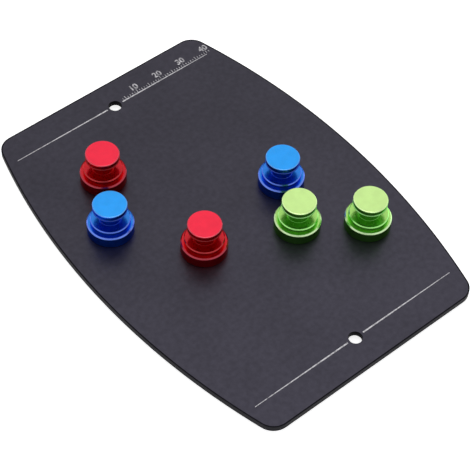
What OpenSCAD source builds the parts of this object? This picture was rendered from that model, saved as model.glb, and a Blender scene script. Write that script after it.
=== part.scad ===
// Magnetic holder for thin flat work.
// Six turned posts with a magnet in the base stand anywhere on a coated steel plate and grip
// the edge of the work in the groove between their seat and their cap.
//
// Frame: origin on the bench under the centre of the plate, +Z up, +Y along the plate,
// +X across it. Every size is in millimetres.

/* [Plate] */
// Length of the plate between its two straight ends
plate_length = 140; // [126:1:180]
// Width across the middle, where the sides bulge most
plate_mid_width = 102; // [98:1:130]
// Width that the two side arcs leave at the ends, before the corners are rounded
plate_end_width = 81; // [76:1:94]
// Thickness of the steel sheet with its coating
plate_thickness = 2; // [1:0.1:4]
// Radius of the four corners
corner_radius = 6; // [3:0.5:12]

/* [Fixing holes] */
// Diameter of the two holes, a close fit for an M4 screw
hole_d = 4.3; // [3:0.1:6]
// Distance from the centre of each hole to the end of the plate
hole_to_end = 10; // [8:0.5:12]

/* [Printed lines] */
// Bare ring left between the edge of a hole and the line
line_gap = 0.95; // [0.4:0.05:2]
// Width of a line beside the hole
line_root_width = 0.5; // [0.3:0.05:1]
// Width of a line at its outer end
line_tip_width = 0.2; // [0.1:0.05:0.3]
// Distance from the outer end of a line to the side of the plate
line_to_side = 3.8; // [2:0.1:10]
// Depth of the paint in the coating
line_depth = 0.1; // [0.05:0.05:0.3]

/* [Rubber feet] */
// Diameter of a foot
foot_d = 9; // [6:0.5:12]
// Height of a foot, which is the gap between bench and plate
foot_height = 1.5; // [1:0.1:4]
// Radius of the worn edge that stands on the bench
foot_edge_radius = 0.5; // [0.2:0.1:0.8]
// Distance from the centre of a foot to the end of the plate
foot_to_end = 14; // [10:0.5:20]
// Distance from the centre of a foot to the side of the plate
foot_to_side = 9; // [7:0.5:14]

/* [Posts] */
// Diameter of the base
base_d = 15; // [13.5:0.1:15.6]
// Height of the base
base_height = 4; // [3:0.1:6]
// Diameter of the seat, the step on which the work lies
seat_d = 12.8; // [11:0.1:13.2]
// Height of the seat above the base
seat_height = 1.8; // [0.8:0.1:4]
// Diameter of the neck at the bottom of the groove
neck_d = 7; // [5:0.1:8.4]
// Width of the groove between the seat and the cap
groove_width = 4.3; // [3:0.1:8]
// Diameter of the cap
cap_d = 11; // [10.4:0.1:12.6]
// Thickness of the cap
cap_height = 2.2; // [1.8:0.1:5]
// Depth of the shallow finger groove in the wall of the cap
finger_groove_depth = 0.2; // [0.1:0.05:0.3]
// Width of the narrow land left on each side of the finger groove
finger_groove_land = 0.1; // [0.05:0.05:0.15]
// Width of the bright chamfer on every outer edge
edge_chamfer = 0.3; // [0.1:0.05:0.5]
// Radius of the fillets at both ends of the neck
neck_fillet = 0.2; // [0.1:0.1:1]

/* [Magnets] */
// Diameter of the disc magnet
magnet_d = 10; // [6:0.5:11]
// Thickness of the disc magnet
magnet_height = 3; // [1:0.5:3.5]
// Room all round the magnet in its pocket
magnet_clearance = 0.05; // [0.02:0.01:0.2]
// Depth of the magnet's face behind the face of the base
magnet_recess = 0.2; // [0.1:0.05:0.5]
// Width of the chamfer on the edges of the magnet
magnet_chamfer = 0.2; // [0.1:0.05:0.4]

/* [Places of the posts on the plate, x and y] */
// Red post at the far left
red_back_at = [-22.1, 36.9]; // [-30:0.1:40]
// Blue post at the left
blue_front_at = [-32.7, 18.9]; // [-34:0.1:20]
// Red post left of the middle
red_front_at = [-14.5, -5.4]; // [-20:0.1:0]
// Blue post right of the middle
blue_back_at = [22.1, 0.4]; // [-3:0.1:30]
// Green post before the middle
green_mid_at = [14.4, -16.5]; // [-20:0.1:16]
// Green post at the near right
green_right_at = [32.5, -29.7]; // [-32:0.1:34]

/* [Hidden] */

$fn = 96;
// Segments of the circles of the long side arcs, when the model is drawn as a mesh
side_arc_segments = 720;
// Length by which a cutting tool runs past the face that it cuts
cut_past = 1;

// The four limits of the outline
half_length = plate_length / 2;
half_mid_width = plate_mid_width / 2;
half_end_width = plate_end_width / 2;

// Each side is one arc through the middle of the side and the two virtual end corners
side_bulge = half_mid_width - half_end_width;
side_radius = (half_length ^ 2 + side_bulge ^ 2) / (2 * side_bulge);
side_centre_x = half_mid_width - side_radius;

// A corner arc touches its side arc from inside and touches the straight end
corner_y = half_length - corner_radius;
corner_x = side_centre_x + sqrt((side_radius - corner_radius) ^ 2 - corner_y ^ 2);
touch_y = corner_y + corner_radius * corner_y / (side_radius - corner_radius);

// Distance from the centre line to the side of the plate, at a distance y along the plate
function side_x(y) = side_centre_x + sqrt(side_radius ^ 2 - y ^ 2);

plate_bottom = foot_height;
plate_top = plate_bottom + plate_thickness;

hole_y = half_length - hole_to_end;
line_start = hole_d / 2 + line_gap;
line_end = side_x(hole_y) - line_to_side;

foot_y = half_length - foot_to_end;
foot_x = side_x(foot_y) - foot_to_side;

seat_z = base_height + seat_height;
cap_z = seat_z + groove_width;
post_height = cap_z + cap_height;
pocket_d = magnet_d + 2 * magnet_clearance;
pocket_depth = magnet_height + magnet_recess;

RED = [0.86, 0.05, 0.13];
BLUE = [0.05, 0.35, 0.9];
GREEN = [0.42, 0.78, 0.2];

// Outline of the plate: the two side arcs up to where the corner arcs touch them,
// the straight ends, and the four corner arcs
module plate_outline() {
    intersection() {
        square([plate_mid_width, 2 * touch_y], center = true);
        intersection_for(side = [-1, 1])
            translate([side * side_centre_x, 0])
                circle(r = side_radius, $fn = side_arc_segments);
    }
    square([2 * corner_x, plate_length], center = true);
    for (side = [-1, 1], end = [-1, 1])
        translate([side * corner_x, end * corner_y]) circle(r = corner_radius);
}

// The two tapered halves of the line through one hole, seen from above
module line_outline() {
    for (side = [0, 1])
        mirror([side, 0])
            polygon([
                [line_start, -line_root_width / 2],
                [line_end, -line_tip_width / 2],
                [line_end, line_tip_width / 2],
                [line_start, line_root_width / 2],
            ]);
}

// Paint of the line at one end of the plate, flush with the coating
module line_paint(end) {
    color("white")
        translate([0, end * hole_y, plate_top - line_depth])
            linear_extrude(line_depth) line_outline();
}

module plate() {
    color([0.11, 0.11, 0.13])
        difference() {
            translate([0, 0, plate_bottom])
                linear_extrude(plate_thickness) plate_outline();
            for (end = [-1, 1]) translate([0, end * hole_y, 0]) {
                translate([0, 0, plate_bottom - cut_past])
                    cylinder(d = hole_d, h = plate_thickness + 2 * cut_past);
                translate([0, 0, plate_top - line_depth])
                    linear_extrude(line_depth + cut_past) line_outline();
            }
        }
}

// Half section of a disc of radius r and height h, with its two outer edges chamfered
module disc_section(r, h, low_edge, high_edge) {
    polygon([
        [0, 0], [r - low_edge, 0], [r, low_edge],
        [r, h - high_edge], [r - high_edge, h], [0, h],
    ]);
}

// Material that a concave fillet of radius r adds in a corner at the origin
module fillet_section(r) {
    difference() {
        square(r);
        translate([r, r]) circle(r = r, $fn = 48);
    }
}

// Half section of the cap: two rims with a finger groove between them. The flanks of the groove
// slope at 45 degrees, so the lower rim shows a bright line when it is seen from above
module cap_section() {
    rim = cap_d / 2;
    bottom = rim - finger_groove_depth;
    low_land = 2 * finger_groove_land;
    high_land = cap_height - edge_chamfer - finger_groove_land;
    polygon([
        [0, 0],
        [rim - finger_groove_land, 0],
        [rim, finger_groove_land],
        [rim, low_land],
        [bottom, low_land + finger_groove_depth],
        [bottom, high_land - finger_groove_depth],
        [rim, high_land],
        [rim, high_land + finger_groove_land],
        [rim - edge_chamfer, cap_height],
        [0, cap_height],
    ]);
}

// Half section of a post, as the lathe leaves it, with the magnet pocket bored from below
module post_section() {
    difference() {
        union() {
            disc_section(base_d / 2, base_height, edge_chamfer / 2, edge_chamfer);
            disc_section(seat_d / 2, seat_z, 0, edge_chamfer);
            disc_section(neck_d / 2, post_height - cap_height / 2, 0, 0);
            translate([neck_d / 2, seat_z]) fillet_section(neck_fillet);
            translate([neck_d / 2, cap_z]) mirror([0, 1]) fillet_section(neck_fillet);
            translate([0, cap_z]) cap_section();
        }
        translate([0, -cut_past]) square([pocket_d / 2, pocket_depth + cut_past]);
    }
}

// Puts a piece of a post at its place on the plate
module on_plate(at) {
    translate([at.x, at.y, plate_top]) children();
}

module post(at, finish) {
    color(finish) on_plate(at) rotate_extrude() post_section();
}

// Disc magnet, glued against the roof of its pocket
module magnet(at) {
    color("silver")
        on_plate(at)
            translate([0, 0, magnet_recess])
                rotate_extrude()
                    disc_section(magnet_d / 2, magnet_height, magnet_chamfer, magnet_chamfer);
}

// Half section of a rubber foot, with a rounded edge where it stands
module foot_section() {
    edge = foot_edge_radius;
    square([foot_d / 2 - edge, foot_height]);
    translate([0, edge]) square([foot_d / 2, foot_height - edge]);
    translate([foot_d / 2 - edge, edge]) circle(r = edge, $fn = 48);
}

// One rubber foot under the corner given by the signs of side and end
module foot(side, end) {
    color([0.08, 0.08, 0.08])
        translate([side * foot_x, end * foot_y, 0])
            rotate_extrude() foot_section();
}

plate();
line_paint(1);  // far_line
line_paint(-1);  // near_line
foot(-1, 1);  // foot_far_left
foot(1, 1);  // foot_far_right
foot(-1, -1);  // foot_near_left
foot(1, -1);  // foot_near_right
post(red_back_at, RED);  // red_back_post
magnet(red_back_at);  // red_back_magnet
post(blue_front_at, BLUE);  // blue_front_post
magnet(blue_front_at);  // blue_front_magnet
post(red_front_at, RED);  // red_front_post
magnet(red_front_at);  // red_front_magnet
post(blue_back_at, BLUE);  // blue_back_post
magnet(blue_back_at);  // blue_back_magnet
post(green_mid_at, GREEN);  // green_mid_post
magnet(green_mid_at);  // green_mid_magnet
post(green_right_at, GREEN);  // green_right_post
magnet(green_right_at);  // green_right_magnet
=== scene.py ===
# %% [markdown]
# A magnetic holder for thin flat work.
# The real thing is a steel plate with a black powder coat, which lies on four rubber feet. Loose
# posts, turned from aluminium and anodised in three colours, stand on it. Each has a magnet in
# its base, so it stays where it is put and grips the edge of the work in its groove.
# The solids already exist in CAD, with every size and joint. This script gives them their looks:
# it builds finer meshes where the CAD edges are too sharp, and makes a finish for each surface.

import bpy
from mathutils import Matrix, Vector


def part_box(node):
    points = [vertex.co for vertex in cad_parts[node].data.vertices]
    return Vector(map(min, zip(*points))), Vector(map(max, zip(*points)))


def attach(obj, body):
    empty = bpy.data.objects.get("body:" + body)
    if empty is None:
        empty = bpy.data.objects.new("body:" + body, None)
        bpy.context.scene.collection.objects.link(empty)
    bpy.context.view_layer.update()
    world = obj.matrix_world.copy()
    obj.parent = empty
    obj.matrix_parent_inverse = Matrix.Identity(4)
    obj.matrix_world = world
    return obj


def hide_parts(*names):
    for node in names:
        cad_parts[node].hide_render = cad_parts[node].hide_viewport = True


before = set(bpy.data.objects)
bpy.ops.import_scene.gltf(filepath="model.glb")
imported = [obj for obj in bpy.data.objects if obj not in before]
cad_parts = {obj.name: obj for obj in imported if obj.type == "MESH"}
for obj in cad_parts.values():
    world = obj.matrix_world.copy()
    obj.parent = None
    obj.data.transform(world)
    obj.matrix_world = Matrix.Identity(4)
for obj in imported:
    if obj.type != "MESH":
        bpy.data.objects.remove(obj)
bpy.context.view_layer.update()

# %% [markdown]
# The CAD sizes come in metres, but a workshop drawing is in millimetres, and Blender's mesh
# operators are also more exact on numbers near one than on numbers near a thousandth. So every
# piece here is modelled in millimetres and scaled once, at the end.

# %% Units and small helpers
import math

import bmesh
import bpy
from mathutils import Matrix, Vector

MM = 0.001
UP = Vector((0, 0, 1))


def cad_box(node):
    """Lowest and highest corner of a CAD node, in millimetres."""
    low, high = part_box(node)
    return Vector(low) / MM, Vector(high) / MM


def middle(node):
    """Centre of a CAD node seen from above, at the height of its lowest point."""
    low, high = cad_box(node)
    return Vector(((low.x + high.x) / 2, (low.y + high.y) / 2, low.z))


plate_low, plate_high = cad_box("plate")
print("plate, mm:", [round(v, 2) for v in (*plate_low, *plate_high)])

# %% [markdown]
# A finished mesh has to become a piece that moves with the right body of the CAD frame. Curved
# faces are shaded smooth, edges sharper than a given angle stay crisp, and the weighted normals
# keep large flat faces flat although they meet a rounded edge.

# %% Turning a mesh into a piece
CRISP_ANGLE = 40


def make_piece(name, bm, finish, body, stands_for=None, crisp_above=CRISP_ANGLE):
    """Scales a mesh to metres, gives it a finish and lets it ride on a body of the frame."""
    bmesh.ops.scale(bm, vec=(MM, MM, MM), verts=bm.verts)
    mesh = bpy.data.meshes.new(name)
    bm.to_mesh(mesh)
    bm.free()
    mesh.polygons.foreach_set("use_smooth", [True] * len(mesh.polygons))
    mesh.set_sharp_from_angle(angle=math.radians(crisp_above))
    mesh.materials.append(finish)
    piece = bpy.data.objects.new(name, mesh)
    bpy.context.scene.collection.objects.link(piece)
    flat = piece.modifiers.new("flat faces stay flat", "WEIGHTED_NORMAL")
    flat.keep_sharp = True
    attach(piece, body)
    if stands_for:
        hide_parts(stands_for)
    print(f"{name}: {len(mesh.polygons)} faces, rides on {body}")
    return piece


# %% [markdown]
# Every finish below is a small tree of nodes. These helpers keep the trees readable: one adds a
# node and sets its sockets by name, one joins two sockets. All patterns read Object coordinates,
# so they stay fixed on the piece, and their scale is simply one over the size of a grain. The
# value of a noise lies between 0.3 and 0.7 nearly everywhere, so one helper stretches just that.

# %% Helpers for the finishes
# Numbers of the colour sockets of a Mix node, whose names it shares with other sockets
MIX_FIRST, MIX_SECOND, MIX_RESULT = 6, 7, 2
NOISE_SPAN = (0.3, 0.7)


class Finish:
    """A material with a Principled shader, and short ways to add nodes to it."""

    def __init__(self, name, **sockets):
        self.material = bpy.data.materials.new(name)
        self.material.use_nodes = True
        self.tree = self.material.node_tree
        self.shader = self.tree.nodes["Principled BSDF"]
        self.set(self.shader, sockets)
        self.place = self.add("ShaderNodeTexCoord").outputs["Object"]

    def set(self, node, sockets):
        for name, value in sockets.items():
            node.inputs[name].default_value = value

    def add(self, kind, settings=None, **sockets):
        node = self.tree.nodes.new(kind)
        for name, value in (settings or {}).items():
            setattr(node, name, value)
        self.set(node, sockets)
        return node

    def join(self, output, node, socket):
        self.tree.links.new(output, node.inputs[socket])

    def noise(self, grain_mm, detail=2.0, stretch=None):
        """Noise whose lumps are about grain_mm wide."""
        node = self.add("ShaderNodeTexNoise", Detail=detail, Scale=1 / (grain_mm * MM))
        place = self.place
        if stretch:
            mapping = self.add("ShaderNodeMapping", Scale=stretch)
            self.join(place, mapping, "Vector")
            place = mapping.outputs["Vector"]
        self.join(place, node, "Vector")
        return node.outputs["Fac"]

    def ramp(self, value, low, high, from_low=0.0, from_high=1.0):
        """Takes a value between from_low and from_high to one between low and high."""
        node = self.add("ShaderNodeMapRange", {"clamp": True})
        self.set(node, {"From Min": from_low, "From Max": from_high, "To Min": low, "To Max": high})
        self.join(value, node, "Value")
        return node.outputs["Result"]

    def spread(self, noise, low, high):
        """Stretches a noise so that it runs from low to high."""
        return self.ramp(noise, low, high, *NOISE_SPAN)

    def blend(self, factor, first, second):
        """Mixes two colours, each a socket or a plain colour."""
        node = self.add("ShaderNodeMix", {"data_type": "RGBA"})
        self.join(factor, node, "Factor")
        for index, colour in ((MIX_FIRST, first), (MIX_SECOND, second)):
            if isinstance(colour, tuple):
                node.inputs[index].default_value = (*colour, 1.0)
            else:
                self.join(colour, node, index)
        return node.outputs[MIX_RESULT]

    def palette(self, number, colours):
        """Picks one of the colours by its number, counted from 0."""
        node = self.add("ShaderNodeValToRGB")
        stops = node.color_ramp
        stops.interpolation = "CONSTANT"
        stops.elements[0].position = 0.0
        stops.elements[1].position = 1 / len(colours)
        for place in range(2, len(colours)):
            stops.elements.new(place / len(colours))
        for stop, colour in zip(stops.elements, colours):
            stop.color = (*colour, 1.0)
        middle_of_stop = self.math("DIVIDE", self.math("ADD", number, 0.5), len(colours))
        self.join(middle_of_stop, node, "Fac")
        return node.outputs["Color"]

    def math(self, operation, first, second=0.0):
        node = self.add("ShaderNodeMath", {"operation": operation})
        for index, value in enumerate((first, second)):
            if isinstance(value, (int, float)):
                node.inputs[index].default_value = value
            else:
                self.join(value, node, index)
        return node.outputs[0]

    def product(self, first, second):
        return self.math("MULTIPLY", first, second)

    def attribute(self, name):
        return self.add("ShaderNodeAttribute", {"attribute_name": name}).outputs["Fac"]

    def bump(self, height, depth_mm, strength, over=None):
        node = self.add("ShaderNodeBump", Strength=strength, Distance=depth_mm * MM)
        self.join(height, node, "Height")
        if over is not None:
            self.join(over, node, "Normal")
        return node.outputs["Normal"]

    def use(self, **sockets):
        """Joins outputs to the shader's sockets, given with _ for each space."""
        for name, output in sockets.items():
            self.join(output, self.shader, name.replace("_", " "))
        return self.material


# %% [markdown]
# The photograph looks down on the holder over its near left corner. The camera was measured
# from the outline of the plate, its two holes and the rims of the posts: the azimuth is turned
# from the view along +Y, and the roll is the small tilt of the picture.

# %% Camera at the photograph's angle
IMAGE_SIDE = 470
FOCAL_PIXELS = 1634.8
SENSOR_MM = 36.0
CAMERA_AZIMUTH = math.radians(-41.918)
CAMERA_ELEVATION = math.radians(51.744)
CAMERA_ROLL = math.radians(2.956)
CAMERA_DISTANCE = 515.3
CAMERA_TARGET = Vector((-3.504, -7.265, plate_high.z))

back = Vector((
    math.sin(CAMERA_AZIMUTH) * math.cos(CAMERA_ELEVATION),
    -math.cos(CAMERA_AZIMUTH) * math.cos(CAMERA_ELEVATION),
    math.sin(CAMERA_ELEVATION),
))
level_right = Vector((math.cos(CAMERA_AZIMUTH), math.sin(CAMERA_AZIMUTH), 0))
level_up = back.cross(level_right)
right = level_right * math.cos(CAMERA_ROLL) + level_up * math.sin(CAMERA_ROLL)
up = level_up * math.cos(CAMERA_ROLL) - level_right * math.sin(CAMERA_ROLL)

camera_data = bpy.data.cameras.new("camera")
camera_data.sensor_width = SENSOR_MM
camera_data.lens = SENSOR_MM * FOCAL_PIXELS / IMAGE_SIDE
camera_data.clip_start = 0.01
camera_data.clip_end = 20
camera = bpy.data.objects.new("camera", camera_data)
bpy.context.scene.collection.objects.link(camera)
turned = Matrix((right, up, back)).transposed().to_4x4()
camera.matrix_world = Matrix.Translation((CAMERA_TARGET + back * CAMERA_DISTANCE) * MM) @ turned
bpy.context.scene.camera = camera
print(f"lens {camera_data.lens:.1f} mm, camera at", [round(v, 3) for v in camera.location])

# %% [markdown]
# Polished metal shows the room more than it shows its own colour. In the photograph the flat tops
# are bright, because they mirror a pale wall and ceiling beyond the holder. The groove and the
# front of every step are dark, because two faces at a right angle send the look back to where it
# came from, and there the room is dim. A chamfer mirrors the lower part of the same side and is
# bright again, so the dim patch is a band with a lower and an upper end. The room is pale, a
# little brighter overhead, and plain white to the camera itself. A direction in it is told by its
# Z, 0 at the horizon and 1 straight up, and by how far it leans towards the camera, from -1 to 1.

# %% Room
ROOM_LOW = 0.80
ROOM_HIGH = 1.15
ROOM_FADE = (0.45, 0.95)
DIM_LEVEL = 0.01
DIM_LOWER_END = (0.62, 0.70)
DIM_UPPER_END = (0.965, 0.995)
DIM_SIDES = (-0.40, -0.10)
WHITE = (1.0, 1.0, 1.0, 1.0)


def make_room():
    world = bpy.data.worlds.new("pale room")
    bpy.context.scene.world = world
    world.use_nodes = True
    nodes, links = world.node_tree.nodes, world.node_tree.links

    def fade(value, span, to_low, to_high, shape="LINEAR"):
        """Takes a value that runs over a span to one between to_low and to_high."""
        node = nodes.new("ShaderNodeMapRange")
        node.interpolation_type = shape
        numbers = {"From Min": span[0], "From Max": span[1], "To Min": to_low, "To Max": to_high}
        for socket, number in numbers.items():
            node.inputs[socket].default_value = number
        links.new(value, node.inputs["Value"])
        return node.outputs["Result"]

    def product(first, second):
        node = nodes.new("ShaderNodeMath")
        node.operation = "MULTIPLY"
        links.new(first, node.inputs[0])
        links.new(second, node.inputs[1])
        return node.outputs[0]

    direction = nodes.new("ShaderNodeTexCoord").outputs["Generated"]
    parts = nodes.new("ShaderNodeSeparateXYZ")
    links.new(direction, parts.inputs[0])
    height = parts.outputs["Z"]
    towards_camera = nodes.new("ShaderNodeVectorMath")
    towards_camera.operation = "DOT_PRODUCT"
    towards_camera.inputs[1].default_value = Vector((back.x, back.y, 0)).normalized()
    links.new(direction, towards_camera.inputs[0])

    in_front = fade(towards_camera.outputs["Value"], DIM_SIDES, 0.0, 1.0, "SMOOTHSTEP")
    above = fade(height, DIM_LOWER_END, 0.0, 1.0, "SMOOTHSTEP")
    below = fade(height, DIM_UPPER_END, 1.0, 0.0, "SMOOTHSTEP")
    dim = product(product(above, below), in_front)
    brighter_up = fade(height, ROOM_FADE, ROOM_LOW, ROOM_HIGH)
    level = product(brighter_up, fade(dim, (0.0, 1.0), 1.0, DIM_LEVEL))

    light = nodes["Background"]
    light.inputs["Color"].default_value = WHITE
    links.new(level, light.inputs["Strength"])
    backdrop = nodes.new("ShaderNodeBackground")
    backdrop.inputs["Color"].default_value = WHITE
    seen = nodes.new("ShaderNodeLightPath")
    choose = nodes.new("ShaderNodeMixShader")
    links.new(seen.outputs["Is Camera Ray"], choose.inputs[0])
    links.new(light.outputs[0], choose.inputs[1])
    links.new(backdrop.outputs[0], choose.inputs[2])
    links.new(choose.outputs[0], nodes["World Output"].inputs["Surface"])


make_room()
bpy.context.scene.view_settings.view_transform = "Standard"
print(f"room from {ROOM_LOW} at the bench to {ROOM_HIGH} overhead, dim patch {DIM_LEVEL}")

# %% [markdown]
# A room alone would leave hardly any shadow. One soft box, a metre above the holder and a little
# to the camera's side, gives the faint shadow on the bench and lifts the flat faces.

# %% Soft box
LAMP_SIDE = 0.6
LAMP_PLACE = Vector((-0.02, -0.03, 1.0))
LAMP_WATTS = 1.6


def make_lamp():
    data = bpy.data.lights.new("soft box", "AREA")
    data.shape = "SQUARE"
    data.size = LAMP_SIDE
    data.energy = LAMP_WATTS
    lamp = bpy.data.objects.new("soft box", data)
    bpy.context.scene.collection.objects.link(lamp)
    lamp.location = LAMP_PLACE
    lamp.rotation_euler = LAMP_PLACE.to_track_quat("Z", "Y").to_euler()
    print(f"soft box of {LAMP_SIDE} m, {LAMP_PLACE.length:.2f} m away")


make_lamp()

# %% [markdown]
# The holder stands on a white bench. A white diffuse floor would show as light grey, so for the
# camera and in mirrors it also glows a little, just enough to reach white in full light. Its
# shadows stay, because the glow is the same everywhere and the light is not.

# %% Bench
FLOOR_SIDE = 6000.0
FLOOR_WHITE = 0.82
FLOOR_GLOW = 0.82


def floor_finish():
    finish = Finish("white bench", Roughness=0.8)
    finish.set(finish.shader, {"Base Color": (FLOOR_WHITE, FLOOR_WHITE, FLOOR_WHITE, 1.0)})
    seen = finish.add("ShaderNodeLightPath")
    wanted = finish.math("MAXIMUM", seen.outputs["Is Camera Ray"], seen.outputs["Is Glossy Ray"])
    wanted = finish.math("MAXIMUM", wanted, seen.outputs["Is Transmission Ray"])
    glow = finish.add("ShaderNodeEmission", Color=WHITE)
    finish.join(finish.product(wanted, FLOOR_GLOW), glow, "Strength")
    both = finish.add("ShaderNodeAddShader")
    finish.join(finish.shader.outputs[0], both, 0)
    finish.join(glow.outputs[0], both, 1)
    finish.join(both.outputs[0], finish.tree.nodes["Material Output"], "Surface")
    return finish.material


floor_mesh = bmesh.new()
bmesh.ops.create_grid(floor_mesh, x_segments=1, y_segments=1, size=FLOOR_SIDE / 2 * MM)
floor_data = bpy.data.meshes.new("floor")
floor_mesh.to_mesh(floor_data)
floor_mesh.free()
floor_data.materials.append(floor_finish())
floor = bpy.data.objects.new("floor", floor_data)
bpy.context.scene.collection.objects.link(floor)
print("floor at height 0, side", FLOOR_SIDE, "mm")

# %% [markdown]
# Powder coat is a baked plastic skin. The skin itself is nearly black, and most of what the eye
# sees on the flat face is its sheen. The blue tint of the sheen is painted light, standing for a
# bluish light in the room. The sheen is mottled like fine leather, because the powder never melts
# quite level, and a little uneven where posts have been pushed about. It is made weaker towards
# the far end of the plate as painted shade. On the cut edges, in a narrow band beside them and in
# the holes, the skin stays black and loses its sheen, partly as a duller coat and partly as painted
# shade. So the mottle goes into the strength of the reflection, and the edges get a mark of their
# own, 0 on the flat face and 1 where it is dullest and most shaded.

# %% Powder coat
COAT_DEEP = (0.0020, 0.0018, 0.0028)
COAT_PALE = (0.0050, 0.0045, 0.0070)
# COAT_EDGE colours the dark edges and holes, partly dull coat and partly painted shade.
COAT_EDGE = (0.0030, 0.0030, 0.0036)
# The blue of this sheen tint is painted light, standing for a bluish light in the room.
COAT_SHEEN_WITH_PAINTED_BLUE_LIGHT = (0.765, 0.72, 0.965, 1.0)
COAT_IOR = 1.68
COAT_ROUGHNESS = (0.31, 0.36)
EDGE_ADDS_ROUGHNESS = 0.25
EDGE_KEEPS_SHEEN = 0.06
CLOUD_SIZE = 22.0
CLOUD_SPAN = (0.35, 0.65)
CLOUD_TONE = 0.6
CLOUD_SHEEN = (0.47, 0.53)
MOTTLE_GRAIN = 1.8
MOTTLE_TONE = 0.4
MOTTLE_SHEEN = (0.90, 1.10)
# NEAR_SHEEN to FAR_SHEEN is painted shade: the sheen is made weaker towards the far end.
NEAR_SHEEN = 1.04
FAR_SHEEN = 0.84
SHEEN_FADES_FROM = 40.0
RUB_SIZE = 9.0
RUB_STRETCH = (1.0, 0.35, 1.0)
PEEL_GRAIN = 0.45
PEEL_DEPTH = 0.012


def powder_coat():
    finish = Finish("satin black powder coat", Metallic=0.0, IOR=COAT_IOR)
    finish.set(finish.shader, {"Specular Tint": COAT_SHEEN_WITH_PAINTED_BLUE_LIGHT})
    edge = finish.attribute("edge")
    clouds = finish.noise(CLOUD_SIZE, detail=4.0)
    mottle = finish.noise(MOTTLE_GRAIN)

    cloud_tone = finish.ramp(clouds, 0.0, CLOUD_TONE, *CLOUD_SPAN)
    tone = finish.math("ADD", cloud_tone, finish.spread(mottle, 0.0, MOTTLE_TONE))
    colour = finish.blend(edge, finish.blend(tone, COAT_DEEP, COAT_PALE), COAT_EDGE)

    uneven = finish.product(finish.spread(mottle, *MOTTLE_SHEEN), finish.spread(clouds, *CLOUD_SHEEN))
    # Painted shade: the sheen fades towards the far end of the plate.
    along = finish.add("ShaderNodeSeparateXYZ")
    finish.join(finish.place, along, 0)
    reach = SHEEN_FADES_FROM * MM
    painted_far_end_shade = finish.ramp(along.outputs["Y"], NEAR_SHEEN, FAR_SHEEN, -reach, reach)
    # Edges, their band and holes keep almost no sheen: partly a dull coat, partly painted shade.
    dulled_and_shaded = finish.ramp(edge, 1.0, EDGE_KEEPS_SHEEN)
    shine = finish.product(finish.product(uneven, painted_far_end_shade), dulled_and_shaded)

    rubbed = finish.noise(RUB_SIZE, detail=5.0, stretch=RUB_STRETCH)
    edge_roughness = finish.ramp(edge, 0.0, EDGE_ADDS_ROUGHNESS)
    roughness = finish.math("ADD", finish.spread(rubbed, *COAT_ROUGHNESS), edge_roughness)
    peel = finish.bump(finish.noise(PEEL_GRAIN), PEEL_DEPTH, strength=0.3)
    return finish.use(Base_Color=colour, Roughness=roughness, Specular_IOR_Level=shine, Normal=peel)


coat = powder_coat()
print("made", coat.name)

# %% [markdown]
# The plate is cut from 2 mm sheet: two straight ends, two long bulging sides, four round corners.
# One quarter of the outline is a vertex spun about the centre of the side arc, then spun on about
# the centre of the corner arc, which lies where the two arcs touch without a kink.

# %% Outline of the plate
PLATE_END_WIDTH = 81.0
CORNER_RADIUS = 6.0
SIDE_STEPS = 48
CORNER_STEPS = 16

half_length = plate_high.y
half_width = plate_high.x
bulge = half_width - PLATE_END_WIDTH / 2
side_radius = (half_length ** 2 + bulge ** 2) / (2 * bulge)
side_centre = Vector((half_width - side_radius, 0, 0))
corner_y = half_length - CORNER_RADIUS
corner_x = side_centre.x + math.sqrt((side_radius - CORNER_RADIUS) ** 2 - corner_y ** 2)
corner_centre = Vector((corner_x, corner_y, 0))
side_angle = math.atan2(corner_y, corner_x - side_centre.x)


def spin_wire(bm, start, centre, angle, steps):
    """Draws an arc on from the vertex start and returns its last vertex."""
    made = bmesh.ops.spin(
        bm, geom=[start], cent=centre, axis=UP, dvec=(0, 0, 0), angle=angle, steps=steps,
        use_duplicate=False,
    )
    return [item for item in made["geom_last"] if isinstance(item, bmesh.types.BMVert)][0]


def outline_quarter(bm):
    middle_of_side = bm.verts.new((half_width, 0, 0))
    touch = spin_wire(bm, middle_of_side, side_centre, side_angle, SIDE_STEPS)
    corner_end = spin_wire(bm, touch, corner_centre, math.pi / 2 - side_angle, CORNER_STEPS)
    middle_of_end = bm.verts.new((0, half_length, 0))
    bm.edges.new((corner_end, middle_of_end))


print(f"side arc of radius {side_radius:.1f} mm, {2 * math.degrees(side_angle):.1f} degrees long")

# %% [markdown]
# Two mirrors make the whole outline from the quarter. A fill with the two round holes left open
# gives the face, and an extrusion gives the thickness.

# %% Plate with its holes
HOLE_DIAMETER = 4.3
HOLE_TO_END = 10.0
HOLE_STEPS = 64
SHEET_THICKNESS = plate_high.z - plate_low.z
JOIN_WITHIN = 0.001

hole_y = half_length - HOLE_TO_END


def mirror_and_join(bm, axis):
    bmesh.ops.mirror(bm, geom=bm.verts[:] + bm.edges[:], axis=axis, merge_dist=JOIN_WITHIN)


def plate_mesh():
    bm = bmesh.new()
    outline_quarter(bm)
    mirror_and_join(bm, "X")
    mirror_and_join(bm, "Y")
    for end in (-1, 1):
        hole = bmesh.ops.create_circle(bm, segments=HOLE_STEPS, radius=HOLE_DIAMETER / 2)
        bmesh.ops.translate(bm, verts=hole["verts"], vec=(0, end * hole_y, 0))
    bmesh.ops.triangle_fill(bm, use_beauty=True, edges=bm.edges[:], normal=UP)
    bmesh.ops.translate(bm, verts=bm.verts, vec=(0, 0, plate_low.z))
    raised = bmesh.ops.extrude_face_region(bm, geom=bm.faces[:], use_keep_orig=True)
    top = [item for item in raised["geom"] if isinstance(item, bmesh.types.BMVert)]
    bmesh.ops.translate(bm, verts=top, vec=(0, 0, SHEET_THICKNESS))
    bmesh.ops.recalc_face_normals(bm, faces=bm.faces[:])
    return bm


plate_bm = plate_mesh()
print(f"plate {SHEET_THICKNESS:.1f} mm thick, holes {2 * hole_y:.0f} mm apart")

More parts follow.
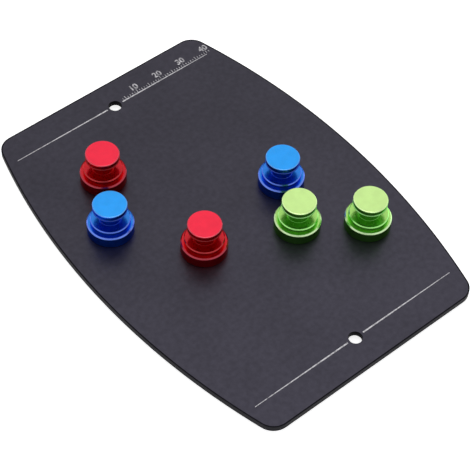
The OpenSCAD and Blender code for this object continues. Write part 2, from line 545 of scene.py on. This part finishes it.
# %% [markdown]
# The coat flows a little off a cut edge and leaves it rounded and dull. A bevel rounds the outer
# edges, and much less the edges of the holes. Then an inset draws a narrow band round the flat
# faces, so that the dark edge reaches a little over it. The darkness of the edges, the band and
# most of all the holes is partly a dull coat and partly painted shade. It is written on the faces
# as a mark of each corner, which the finish above reads.

# %% Rounded and dull edges
RIM_RADIUS = 0.35
HOLE_RIM_RADIUS = 0.08
ROUNDING_FACETS = 4
SHARP_ANGLE = math.radians(60)
LEVEL = 0.99
# The band, the outer edges and the holes are darkened partly as dull coat, partly as painted shade.
DULL_AND_SHADED_BAND = 0.42
OUTER_DULLNESS_AND_SHADE = 0.92
HOLE_DULLNESS_AND_SHADE = 1.0


def is_at_hole(place):
    """Tells whether a place is within one hole's width of the middle of a hole."""
    return math.hypot(place.x, abs(place.y) - hole_y) < HOLE_DIAMETER


def break_edges(bm):
    """Rounds the outer edges more than those of the holes."""
    sharp = [edge for edge in bm.edges if edge.calc_face_angle(0) > SHARP_ANGLE]
    of_holes = [edge for edge in sharp if is_at_hole(edge.verts[0].co)]
    of_outline = [edge for edge in sharp if not is_at_hole(edge.verts[0].co)]
    for edges, radius in ((of_outline, RIM_RADIUS), (of_holes, HOLE_RIM_RADIUS)):
        bmesh.ops.bevel(
            bm, geom=edges, offset=radius, offset_type="OFFSET", segments=ROUNDING_FACETS, profile=0.5,
            affect="EDGES", clamp_overlap=True, material=-1,
        )
    bm.normal_update()


def mark_dull_faces(bm):
    """Writes each face's dullness and painted shade: holes most, then outer edges and their band."""
    mark = bm.loops.layers.float.new("edge")
    level = [face for face in bm.faces if abs(face.normal.z) > LEVEL]
    band = bmesh.ops.inset_region(
        bm, faces=level, thickness=DULL_AND_SHADED_BAND, use_boundary=True, use_even_offset=True
    )
    band = set(band["faces"])
    for face in bm.faces:
        at_hole = is_at_hole(face.calc_center_median())
        dullness_and_shade = 0.0
        if abs(face.normal.z) < LEVEL:
            dullness_and_shade = HOLE_DULLNESS_AND_SHADE if at_hole else OUTER_DULLNESS_AND_SHADE
        elif face in band and not at_hole:
            dullness_and_shade = OUTER_DULLNESS_AND_SHADE
        for loop in face.loops:
            loop[mark] = dullness_and_shade


break_edges(plate_bm)
mark_dull_faces(plate_bm)
make_piece("coated_plate", plate_bm, coat, "plate", stands_for="plate")

# %% [markdown]
# Two thin lines are printed through the holes in white ink. Screen printing leaves a film of a few
# hundredths of a millimetre with slightly uneven cover, so the finish mixes a full and a thin
# white by a fine noise.

# %% White ink
INK_WHITE = (0.78, 0.765, 0.80)
INK_THIN = (0.17, 0.165, 0.185)
INK_ROUGHNESS = (0.45, 0.65)
INK_PATCH_GRAIN = 0.8
INK_PATCH_SOFTNESS = 0.15
INK_SKIN_GRAIN = 0.2
INK_SKIN_DEPTH = 0.006


def ink(name, worn):
    """Printed ink. Where the noise lies below worn, the film is too thin to look white."""
    finish = Finish(name, Metallic=0.0)
    patchy = finish.noise(INK_PATCH_GRAIN, detail=4.0)
    thin = finish.ramp(patchy, 1.0, 0.0, worn - INK_PATCH_SOFTNESS, worn + INK_PATCH_SOFTNESS)
    colour = finish.blend(thin, INK_WHITE, INK_THIN)
    roughness = finish.spread(patchy, *INK_ROUGHNESS)
    skin = finish.bump(finish.noise(INK_SKIN_GRAIN), INK_SKIN_DEPTH, strength=0.5)
    return finish.use(Base_Color=colour, Roughness=roughness, Normal=skin)


white_ink = ink("white line print", worn=0.4)
print("made", white_ink.name)

# %% [markdown]
# Each line has two halves, one on either side of its hole, and gets thinner towards the sides of
# the plate. A half is a grid of quads that is narrowed column by column. The grid starts a little
# below the face of the plate and an extrusion raises it to the thickness of the film, so that the
# ink shows no gap.

# %% Printed lines
INK_FILM = 0.02
LINE_GAP = 0.95
LINE_TO_SIDE = 3.8
ROOT_WIDTH = 0.5
TIP_WIDTH = 0.2
LINE_COLUMNS = 48


def line_half(bm, side, end):
    start = HOLE_DIAMETER / 2 + LINE_GAP
    tip = side_centre.x + math.sqrt(side_radius ** 2 - hole_y ** 2) - LINE_TO_SIDE
    made = bmesh.ops.create_grid(bm, x_segments=LINE_COLUMNS, y_segments=1, size=0.5)["verts"]
    for vertex in made:
        along = vertex.co.x + 0.5
        width = ROOT_WIDTH + (TIP_WIDTH - ROOT_WIDTH) * along
        vertex.co = Vector((
            side * (start + (tip - start) * along),
            end * hole_y + vertex.co.y * width,
            plate_high.z - INK_FILM,
        ))


def raise_film(bm):
    """Gives flat print the thickness of the ink."""
    bmesh.ops.recalc_face_normals(bm, faces=bm.faces[:])
    flipped = [face for face in bm.faces if face.normal.z < 0]
    bmesh.ops.reverse_faces(bm, faces=flipped)
    raised = bmesh.ops.extrude_face_region(bm, geom=bm.faces[:], use_keep_orig=True)
    top = [item for item in raised["geom"] if isinstance(item, bmesh.types.BMVert)]
    bmesh.ops.translate(bm, verts=top, vec=(0, 0, 2 * INK_FILM))
    bmesh.ops.recalc_face_normals(bm, faces=bm.faces[:])


for end, node in ((1, "far_line"), (-1, "near_line")):
    line_bm = bmesh.new()
    for side in (-1, 1):
        line_half(line_bm, side, end)
    raise_film(line_bm)
    make_piece(f"{node}_print", line_bm, white_ink, "plate", stands_for=node)

# %% [markdown]
# A plain scale in small print stands beside the far line. Its millimetres are counted from the
# centre of the hole: a tick for each, longer ones at every fifth and tenth, and the numbers of the
# tens. It helps to set the posts. The ink is the same, but it has rubbed a little thinner. The
# numbers have Blender's own letter shapes, made a mesh before they are put in their place.

# %% Scale
SCALE_FROM = 4
SCALE_TO = 41
NUMBER_EVERY = 10
TICK_WIDTH = 0.24
TICK_FOOT = 0.45
TICK_HEIGHTS = {1: 0.7, 5: 1.15, 10: 1.35}
NUMBER_HEIGHT = 2.3
NUMBER_SHARE_OF_SIZE = 0.7
NUMBER_FOOT = 1.95
NUMBER_BOLD = 0.09


def tick_height(millimetre):
    return TICK_HEIGHTS[max(step for step in TICK_HEIGHTS if millimetre % step == 0)]


def add_tick(bm, x, height):
    made = bmesh.ops.create_grid(bm, x_segments=1, y_segments=1, size=0.5)["verts"]
    for vertex in made:
        vertex.co = Vector((
            x + vertex.co.x * TICK_WIDTH,
            hole_y + TICK_FOOT + (vertex.co.y + 0.5) * height,
            plate_high.z - INK_FILM,
        ))


def add_number(bm, text, x):
    """Draws a number with Blender's own letter shapes and adds its flat faces."""
    curve = bpy.data.curves.new("number", "FONT")
    curve.body = text
    curve.size = NUMBER_HEIGHT / NUMBER_SHARE_OF_SIZE
    curve.align_x = "CENTER"
    curve.offset = NUMBER_BOLD
    curve.resolution_u = 4
    letters = bpy.data.objects.new("number", curve)
    flat = letters.to_mesh()
    before = set(bm.verts)
    bm.from_mesh(flat)
    letters.to_mesh_clear()
    for vertex in bm.verts:
        if vertex not in before:
            vertex.co = Vector((
                vertex.co.x + x,
                vertex.co.y + hole_y + NUMBER_FOOT,
                plate_high.z - INK_FILM,
            ))
    bpy.data.objects.remove(letters)
    bpy.data.curves.remove(curve)


scale_bm = bmesh.new()
for millimetre in range(SCALE_FROM, SCALE_TO + 1):
    add_tick(scale_bm, millimetre, tick_height(millimetre))
    if millimetre % NUMBER_EVERY == 0:
        add_number(scale_bm, str(millimetre), millimetre)
raise_film(scale_bm)
worn_ink = ink("worn white scale print", worn=0.5)
make_piece("far_scale_print", scale_bm, worn_ink, "plate")

# %% [markdown]
# Rubber feet are stuck under the corners. Moulded rubber is dull and nearly black, with a faint
# bloom of grey dust and a rounded lower edge. The CAD solid has that shape already, so it stays
# and only gets a finish.

# %% Rubber feet
RUBBER_DARK = (0.012, 0.012, 0.012)
RUBBER_DUSTY = (0.045, 0.044, 0.042)
RUBBER_ROUGHNESS = (0.62, 0.85)
DUST_GRAIN = 1.5
DUST_SPAN = (0.45, 0.80)
RUBBER_SKIN_GRAIN = 0.25
RUBBER_SKIN_DEPTH = 0.02


def rubber():
    finish = Finish("moulded rubber", Metallic=0.0)
    dust = finish.noise(DUST_GRAIN, detail=5.0)
    colour = finish.blend(finish.ramp(dust, 0.0, 1.0, *DUST_SPAN), RUBBER_DARK, RUBBER_DUSTY)
    roughness = finish.ramp(dust, *RUBBER_ROUGHNESS)
    fine = finish.noise(RUBBER_SKIN_GRAIN, detail=3.0)
    skin = finish.bump(fine, RUBBER_SKIN_DEPTH, strength=0.4)
    return finish.use(Base_Color=colour, Roughness=roughness, Normal=skin)


def dress(node, finish):
    """Puts a finish on a CAD node that keeps its own shape."""
    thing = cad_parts[node]
    thing.data.materials.clear()
    thing.data.materials.append(finish)
    thing.data.polygons.foreach_set("use_smooth", [True] * len(thing.data.polygons))


foot_rubber = rubber()
feet = [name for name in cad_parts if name.startswith("foot_")]
for foot in feet:
    dress(foot, foot_rubber)
print("dressed", sorted(feet))

# %% [markdown]
# Each post is one piece of aluminium off a lathe: a wide base, a seat for the work, a narrow neck
# and a cap with a shallow groove for the fingers. The outer edges of base and seat have a flat
# chamfer, a little wider at the base, and the rim of the cap is broken in three small facets. The
# inner corners are nearly sharp, as a lathe tool leaves them. A lathe cuts a half section round an
# axis, and so does Blender's spin, so a post starts as the corners of its half section.

# %% Half section of a post
BASE_HEIGHT = 4.0
SEAT_DIAMETER = 12.8
SEAT_HEIGHT = 1.8
NECK_DIAMETER = 7.0
GROOVE_WIDTH = 4.3
CAP_DIAMETER = 11.0
CAP_HEIGHT = 2.2
EDGE_CHAMFER = 0.3
BASE_CHAMFER = 0.4
FOOT_CHAMFER = 0.15
NECK_FILLET = 0.06
FINGER_GROOVE_DEPTH = 0.2
FINGER_GROOVE_LAND = 0.1
POCKET_DIAMETER = 10.1
POCKET_DEPTH = 3.2
POCKET_CHAMFER = 0.1


def post_corners(base_diameter):
    """Corners of the half section: radius, height, size of the chamfer, number of its facets."""
    seat = BASE_HEIGHT + SEAT_HEIGHT
    cap = seat + GROOVE_WIDTH
    top = cap + CAP_HEIGHT
    lip = cap + 2 * FINGER_GROOVE_LAND
    shoulder = top - EDGE_CHAMFER - FINGER_GROOVE_LAND
    groove_radius = CAP_DIAMETER / 2 - FINGER_GROOVE_DEPTH
    return [
        (0, POCKET_DEPTH, 0, 0),
        (POCKET_DIAMETER / 2, POCKET_DEPTH, POCKET_CHAMFER, 1),
        (POCKET_DIAMETER / 2, 0, POCKET_CHAMFER, 1),
        (base_diameter / 2, 0, FOOT_CHAMFER, 1),
        (base_diameter / 2, BASE_HEIGHT, BASE_CHAMFER, 1),
        (SEAT_DIAMETER / 2, BASE_HEIGHT, 0, 0),
        (SEAT_DIAMETER / 2, seat, EDGE_CHAMFER, 1),
        (NECK_DIAMETER / 2, seat, NECK_FILLET, 3),
        (NECK_DIAMETER / 2, cap, NECK_FILLET, 3),
        (CAP_DIAMETER / 2, cap, FINGER_GROOVE_LAND, 1),
        (CAP_DIAMETER / 2, lip, 0, 0),
        (groove_radius, lip + FINGER_GROOVE_DEPTH, 0, 0),
        (groove_radius, shoulder - FINGER_GROOVE_DEPTH, 0, 0),
        (CAP_DIAMETER / 2, shoulder, 0, 0),
        (CAP_DIAMETER / 2, top, EDGE_CHAMFER, 3),
        (0, top, 0, 0),
    ]


post_height = BASE_HEIGHT + SEAT_HEIGHT + GROOVE_WIDTH + CAP_HEIGHT
print(f"post {post_height:.1f} mm high, groove {GROOVE_WIDTH} mm wide")

# %% [markdown]
# The section is drawn as a chain of these corners, a vertex bevel breaks each corner by its own
# size, and a full turn makes the body. Before the turn each vertex notes how far along the section
# it lies, so that the tool marks can follow the surface round every step.

# %% Turning a section
POST_STEPS = 128
WELD_WITHIN = 0.0005


def draw_section(bm, corners):
    chain = [bm.verts.new((radius, 0, height)) for radius, height, _, _ in corners]
    for first, second in zip(chain, chain[1:]):
        bm.edges.new((first, second))
    start = chain[0]
    for vertex, (_, _, size, facets) in zip(chain, corners):
        if size:
            bmesh.ops.bevel(
                bm, geom=[vertex], offset=size, offset_type="OFFSET", segments=facets,
                profile=0.5, affect="VERTICES", clamp_overlap=True, material=-1,
            )
    return start


def note_travel(start, travel):
    """Writes on each vertex the length of the section up to it."""
    vertex, edge, length = start, None, 0.0
    while True:
        vertex[travel] = length
        onward = [e for e in vertex.link_edges if e is not edge]
        if not onward:
            return length
        edge = onward[0]
        length += edge.calc_length()
        vertex = edge.other_vert(vertex)


def turn(corners, place):
    """Spins a section about its axis and stands the turned body at its place."""
    bm = bmesh.new()
    travel = bm.verts.layers.float.new("travel")
    section_length = note_travel(draw_section(bm, corners), travel)
    bmesh.ops.spin(
        bm, geom=bm.verts[:] + bm.edges[:], cent=(0, 0, 0), axis=UP, dvec=(0, 0, 0),
        angle=math.tau, steps=POST_STEPS, use_merge=True,
    )
    bmesh.ops.remove_doubles(bm, verts=bm.verts[:], dist=WELD_WITHIN)
    bmesh.ops.recalc_face_normals(bm, faces=bm.faces[:])
    bmesh.ops.translate(bm, verts=bm.verts, vec=place)
    print(f"turned a section {section_length:.1f} mm long")
    return bm


# %% [markdown]
# On the real posts each kind of face takes the tool in its own way: walls and top are satin,
# ledges and chamfers are smoother, and the chamfers are cut last with a fine tool. Each kind also
# gets its own shade of the dye, which is painted light: paler on the top, rim and chamfers as
# painted highlight, deeper on the neck, lip, ledges and lower base wall as painted shade. So every
# face gets the number of its cut, read from the way it faces and from its depth below the top of
# the post. The satin cuts come first in the list, so that one step in it can also set the
# roughness.

# %% Marking the cuts
# The cut of a face picks both its roughness and its shade of the dye, which is painted light.
CUTS = ("wall", "side", "neck", "top", "ledge", "rim", "edge", "fine_edge", "lip")
LAST_SATIN_CUT = CUTS.index("top")
# Depths below the top of a post that part its cap, neck, seat and base
CAP_DEPTH = 3.0
NECK_DEPTH = 6.0
SEAT_DEPTH = 8.0
AT_THE_TOP = 0.001
# How far up a face points, as the Z of its normal
STEEP = 0.5
NEARLY_LEVEL = 0.95


def cut_of(face, top):
    """Names the cut of a face of a post whose top is at a height."""
    depth = top - face.calc_center_median().z
    if depth < AT_THE_TOP:
        return "top"
    if face.normal.z < STEEP:
        if depth > SEAT_DEPTH:
            return "side"
        return "neck" if CAP_DEPTH < depth < NECK_DEPTH else "wall"
    if depth < EDGE_CHAMFER:
        return "rim"
    if face.normal.z > NEARLY_LEVEL:
        return "ledge"
    if depth < CAP_DEPTH:
        return "lip"
    return "edge" if depth > SEAT_DEPTH else "fine_edge"


def mark_cuts(bm):
    """Writes the number of its cut on the corners of every face."""
    mark = bm.loops.layers.float.new("cut")
    top = max(vertex.co.z for vertex in bm.verts)
    for face in bm.faces:
        number = float(CUTS.index(cut_of(face, top)))
        for loop in face.loops:
            loop[mark] = number


print("cuts:", ", ".join(CUTS))

# %% [markdown]
# Anodising grows a clear glassy layer on the aluminium and fills it with dye. Light passes the
# dye on its way to the metal and back, so the mirror image of the room takes the dye's colour,
# and keeps it at a glance along the face, where bare metal would turn white. The smooth outside of
# the layer adds a weak white reflection. A metallic base with a tinted edge and a thin coat
# behaves like that. Fine rings from the cutting tool run round every face.

# %% Anodised aluminium
CLEAR_LAYER = {"Coat Weight": 0.25, "Coat Roughness": 0.08, "Coat IOR": 1.6}
RING_PITCH = 0.16
RING_DEPTH = 0.0006
RING_WOBBLE = 2.0
WOBBLE_SIZE = 0.7
SATIN_GRAIN = 0.12
SATIN_DEPTH = 0.004
DYE_CLOUD_SIZE = 3.0
DYE_CLOUD_SPAN = (0.35, 0.65)
DYE_CLOUD_LEVELS = (1.0, 0.93)
WALL_ROUGHNESS = 0.35
EDGE_ROUGHNESS = 0.25
ROUGHNESS_GRAIN = 1.2
ROUGHNESS_SWING = 0.03


def anodised(name, dye_shades_with_painted_light, glance):
    """Anodised aluminium, its dye shaded per cut as painted light, and a glance tint along a face."""
    finish = Finish(name, Metallic=1.0)
    finish.set(finish.shader, CLEAR_LAYER)
    finish.set(finish.shader, {"Specular Tint": (*glance, 1.0)})
    cut = finish.attribute("cut")
    # Painted light: the dye's shade per cut is paler as highlight and deeper as shade.
    dye_with_painted_light = finish.palette(cut, [dye_shades_with_painted_light[kind] for kind in CUTS])
    clouds = finish.noise(DYE_CLOUD_SIZE, detail=3.0)
    cloudy = finish.add("ShaderNodeHueSaturation")
    finish.join(dye_with_painted_light, cloudy, "Color")
    finish.join(finish.ramp(clouds, *DYE_CLOUD_LEVELS, *DYE_CLOUD_SPAN), cloudy, "Value")

    phase = finish.product(finish.attribute("travel"), math.tau / RING_PITCH)
    wobble = finish.product(finish.noise(WOBBLE_SIZE), RING_WOBBLE)
    rings = finish.math("SINE", finish.math("ADD", phase, wobble))
    marks = finish.bump(rings, RING_DEPTH, strength=0.8)
    satin = finish.bump(finish.noise(SATIN_GRAIN), SATIN_DEPTH, strength=0.25, over=marks)

    grain = finish.noise(ROUGHNESS_GRAIN, detail=4.0)
    walls = finish.spread(grain, WALL_ROUGHNESS - ROUGHNESS_SWING, WALL_ROUGHNESS + ROUGHNESS_SWING)
    smoother_by = WALL_ROUGHNESS - EDGE_ROUGHNESS
    smoother = finish.ramp(cut, 0.0, smoother_by, LAST_SATIN_CUT, LAST_SATIN_CUT + 1)
    roughness = finish.math("SUBTRACT", walls, smoother)
    return finish.use(Base_Color=cloudy.outputs["Color"], Roughness=roughness, Normal=satin)


# %% [markdown]
# Three dyes colour the posts. Each line gives one cut its own shade of the dye. The shades are
# painted light: paler on the top, the rim and the chamfers as painted highlight, deeper on the
# neck, the lip, the ledges and the lower base wall as painted shade, most where walls stand close.

# %% Red, blue and green
RED_DYE_AND_PAINTED_LIGHT = {
    "wall": (0.88, 0.004, 0.012),
    "side": (0.60, 0.005, 0.018),
    "neck": (0.61, 0.003, 0.008),
    "top": (0.93, 0.026, 0.066),
    "ledge": (0.55, 0.009, 0.018),
    "rim": (0.62, 0.080, 0.115),
    "edge": (0.47, 0.045, 0.070),
    "fine_edge": (0.51, 0.029, 0.034),
    "lip": (0.26, 0.007, 0.010),
}
BLUE_DYE_AND_PAINTED_LIGHT = {
    "wall": (0.003, 0.115, 0.90),
    "side": (0.004, 0.105, 0.80),
    "neck": (0.003, 0.083, 0.62),
    "top": (0.026, 0.365, 0.96),
    "ledge": (0.020, 0.200, 0.70),
    "rim": (0.115, 0.375, 0.88),
    "edge": (0.160, 0.285, 0.98),
    "fine_edge": (0.108, 0.215, 0.87),
    "lip": (0.022, 0.064, 0.42),
}
GREEN_DYE_AND_PAINTED_LIGHT = {
    "wall": (0.21, 0.74, 0.08),
    "side": (0.115, 0.36, 0.060),
    "neck": (0.135, 0.56, 0.060),
    "top": (0.61, 0.88, 0.315),
    "ledge": (0.37, 0.70, 0.16),
    "rim": (0.77, 1.00, 0.48),
    "edge": (0.72, 1.00, 0.54),
    "fine_edge": (0.44, 1.00, 0.28),
    "lip": (0.28, 0.65, 0.20),
}
FINISHES = {
    "red": anodised("red anodised aluminium", RED_DYE_AND_PAINTED_LIGHT, glance=(1.0, 0.06, 0.10)),
    "blue": anodised("blue anodised aluminium", BLUE_DYE_AND_PAINTED_LIGHT, glance=(0.06, 0.30, 1.0)),
    "green": anodised("green anodised aluminium", GREEN_DYE_AND_PAINTED_LIGHT, glance=(0.45, 1.0, 0.25)),
}
print("made", [finish.name for finish in FINISHES.values()])

# %% [markdown]
# Six posts stand on the plate where the CAD has them, each with its own base diameter read from
# there. Their chamfers and facets have to stay crisp, so the limit for smooth shading is low.

# %% Turned posts
POST_CRISP_ANGLE = 12

posts = [name[: -len("_post")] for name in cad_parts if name.endswith("_post")]
for post in sorted(posts):
    node = f"{post}_post"
    low, high = cad_box(node)
    colour = post.split("_")[0]
    body = turn(post_corners(high.x - low.x), middle(node))
    mark_cuts(body)
    make_piece(
        f"{post}_turned", body, FINISHES[colour], post,
        stands_for=node, crisp_above=POST_CRISP_ANGLE,
    )

# %% [markdown]
# A disc magnet is glued in the base of each post. It is nickel plated: a warm grey mirror with
# light scratches from the steel. The CAD discs stay, with a finish.

# %% Magnets
NICKEL = (0.66, 0.62, 0.56)
NICKEL_DULL = (0.45, 0.42, 0.38)
NICKEL_ROUGHNESS = (0.18, 0.42)
STAIN_SIZE = 2.5
STAIN_SPAN = (0.45, 0.75)
SCRATCH_LENGTH = 0.5
SCRATCH_STRETCH = (1.0, 0.06, 1.0)
SCRATCH_DEPTH = 0.004


def nickel():
    finish = Finish("nickel plating", Metallic=1.0)
    stain = finish.noise(STAIN_SIZE, detail=5.0)
    colour = finish.blend(finish.ramp(stain, 0.0, 1.0, *STAIN_SPAN), NICKEL, NICKEL_DULL)
    scratches = finish.noise(SCRATCH_LENGTH, detail=6.0, stretch=SCRATCH_STRETCH)
    roughness = finish.spread(scratches, *NICKEL_ROUGHNESS)
    lines = finish.bump(scratches, SCRATCH_DEPTH, strength=0.4)
    return finish.use(Base_Color=colour, Roughness=roughness, Normal=lines)


plating = nickel()
magnets = [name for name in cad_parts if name.endswith("_magnet")]
for magnet in magnets:
    dress(magnet, plating)
print("dressed", len(magnets), "magnets")
